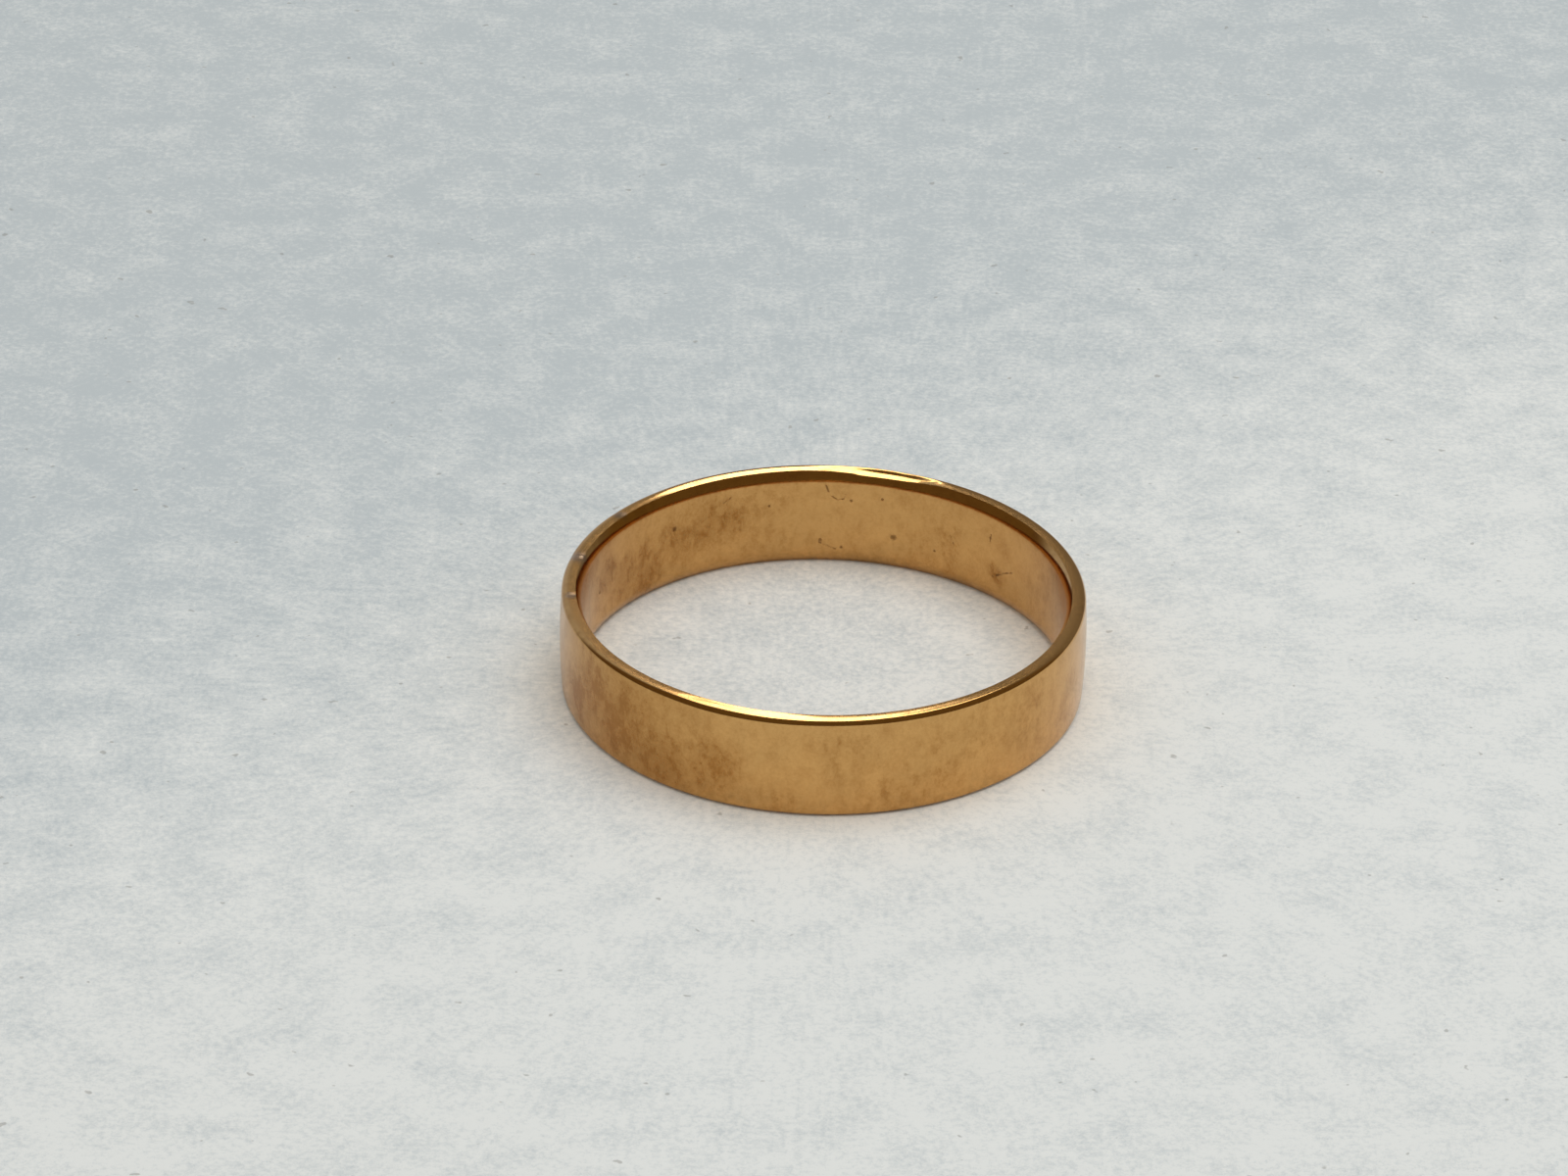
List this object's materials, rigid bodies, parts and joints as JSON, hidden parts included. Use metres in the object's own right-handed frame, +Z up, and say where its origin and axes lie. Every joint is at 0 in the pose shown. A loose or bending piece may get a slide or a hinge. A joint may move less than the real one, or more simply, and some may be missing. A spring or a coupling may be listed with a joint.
{
  "type": "wedding band",
  "caption": "Plain yellow-rose gold finger band with a faintly crowned outside, eased outside edges and worn inside edges, closed by a soldered seam",
  "frame": {"origin": "on the finger axis, in the plane of the lower rim the band rests on", "axes": "+Z up along the finger axis, +X to the right and -Y towards the viewer; the seam sits at 168 degrees counterclockwise from +X"},
  "size_m": [0.0198, 0.0198, 0.004],
  "materials": {
    "gold": "worn polished yellow-rose gold, tarnished in places",
    "solder": "filed and polished gold solder, a little duller than the strip"
  },
  "bodies": {
    "root": {"shank": "gold", "solder_seam": "solder"}
  },
  "joints": []
}
